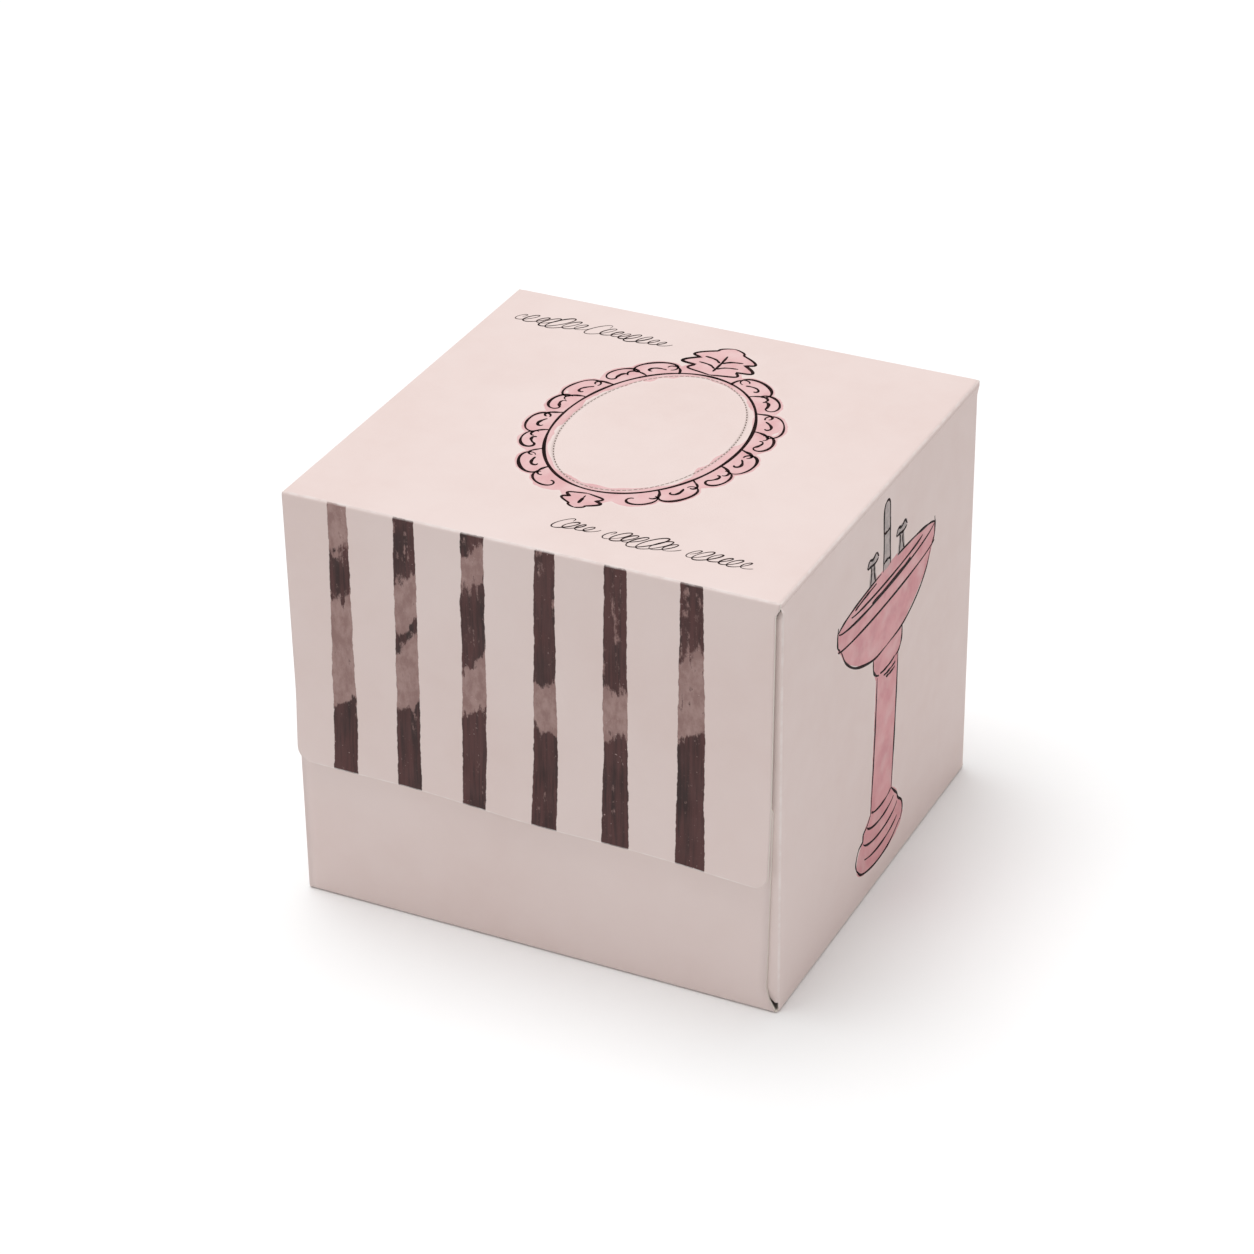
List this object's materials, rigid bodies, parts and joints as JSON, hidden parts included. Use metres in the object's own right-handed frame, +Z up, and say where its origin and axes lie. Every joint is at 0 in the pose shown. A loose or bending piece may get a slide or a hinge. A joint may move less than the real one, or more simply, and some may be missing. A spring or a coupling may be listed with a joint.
{
  "type": "facial tissue carton",
  "caption": "Cube-shaped folding carton of facial tissues with glued seal-end flaps on paperboard folds and a perforated oval tear-out over a slit film.",
  "frame": {"origin": "middle of the base, on the surface the carton stands on", "axes": "+X to the right along the longest side, -Y out of the striped front end, +Z up, the shortest side"},
  "size_m": [0.115, 0.11, 0.101],
  "materials": {
    "printed_board": "satin",
    "dry_glue": "satin",
    "slit_film": "gloss",
    "tissue": "matte"
  },
  "bodies": {
    "carton": {"top_panel": "printed_board", "right_side_panel": "printed_board", "bottom_panel": "printed_board", "left_side_panel": "printed_board", "seam_glue_flap": "printed_board", "seam_glue_line": "dry_glue", "dispensing_film": "slit_film", "film_glue_line": "dry_glue", "top_tissue": "tissue", "outer_tissue_bundle": "tissue", "second_tissue_bundle": "tissue", "third_tissue_bundle": "tissue", "inner_tissue_bundle": "tissue"},
    "front_outer_flap": {"front_outer_flap": "printed_board"},
    "front_inner_flap": {"front_inner_flap": "printed_board", "front_lap_glue": "dry_glue"},
    "front_right_dust_flap": {"front_right_dust_flap": "printed_board", "front_right_dust_glue": "dry_glue"},
    "front_left_dust_flap": {"front_left_dust_flap": "printed_board", "front_left_dust_glue": "dry_glue"},
    "back_outer_flap": {"back_outer_flap": "printed_board"},
    "back_inner_flap": {"back_inner_flap": "printed_board", "back_lap_glue": "dry_glue"},
    "back_right_dust_flap": {"back_right_dust_flap": "printed_board", "back_right_dust_glue": "dry_glue"},
    "back_left_dust_flap": {"back_left_dust_flap": "printed_board", "back_left_dust_glue": "dry_glue"},
    "tear_out": {"tear_out_oval": "printed_board", "perforation_ties": "printed_board"}
  },
  "joints": [
    {"name": "front_outer_flap_fold", "type": "hinge", "parent": "carton", "child": "front_outer_flap", "pos_m": [0, -0.05471, 0.10071], "axis": [-1, 0, 0], "range_deg": [0, 180]},
    {"name": "front_inner_flap_fold", "type": "hinge", "parent": "carton", "child": "front_inner_flap", "pos_m": [0, -0.05411, 0.00029], "axis": [1, 0, 0], "range_deg": [0, 90]},
    {"name": "front_right_dust_flap_fold", "type": "hinge", "parent": "carton", "child": "front_right_dust_flap", "pos_m": [0.05721, -0.05351, 0.0505], "axis": [0, 0, 1], "range_deg": [0, 72]},
    {"name": "front_left_dust_flap_fold", "type": "hinge", "parent": "carton", "child": "front_left_dust_flap", "pos_m": [-0.05721, -0.05351, 0.0505], "axis": [0, 0, -1], "range_deg": [0, 72]},
    {"name": "back_outer_flap_fold", "type": "hinge", "parent": "carton", "child": "back_outer_flap", "pos_m": [0, 0.05471, 0.10071], "axis": [1, 0, 0], "range_deg": [0, 180]},
    {"name": "back_inner_flap_fold", "type": "hinge", "parent": "carton", "child": "back_inner_flap", "pos_m": [0, 0.05411, 0.00029], "axis": [-1, 0, 0], "range_deg": [0, 90]},
    {"name": "back_right_dust_flap_fold", "type": "hinge", "parent": "carton", "child": "back_right_dust_flap", "pos_m": [0.05721, 0.05351, 0.0505], "axis": [0, 0, -1], "range_deg": [0, 72]},
    {"name": "back_left_dust_flap_fold", "type": "hinge", "parent": "carton", "child": "back_left_dust_flap", "pos_m": [-0.05721, 0.05351, 0.0505], "axis": [0, 0, 1], "range_deg": [0, 72]},
    {"name": "tear_out_lift", "type": "slide", "parent": "carton", "child": "tear_out", "axis": [0, 0, 1], "range_m": [0, 0.04]}
  ],
  "couplings": [
    {"joint": "front_inner_flap_fold", "follows": "front_outer_flap_fold", "ratio": 0.5},
    {"joint": "front_right_dust_flap_fold", "follows": "front_outer_flap_fold", "ratio": 0.4},
    {"joint": "front_left_dust_flap_fold", "follows": "front_outer_flap_fold", "ratio": 0.4},
    {"joint": "back_inner_flap_fold", "follows": "back_outer_flap_fold", "ratio": 0.5},
    {"joint": "back_right_dust_flap_fold", "follows": "back_outer_flap_fold", "ratio": 0.4},
    {"joint": "back_left_dust_flap_fold", "follows": "back_outer_flap_fold", "ratio": 0.4}
  ]
}
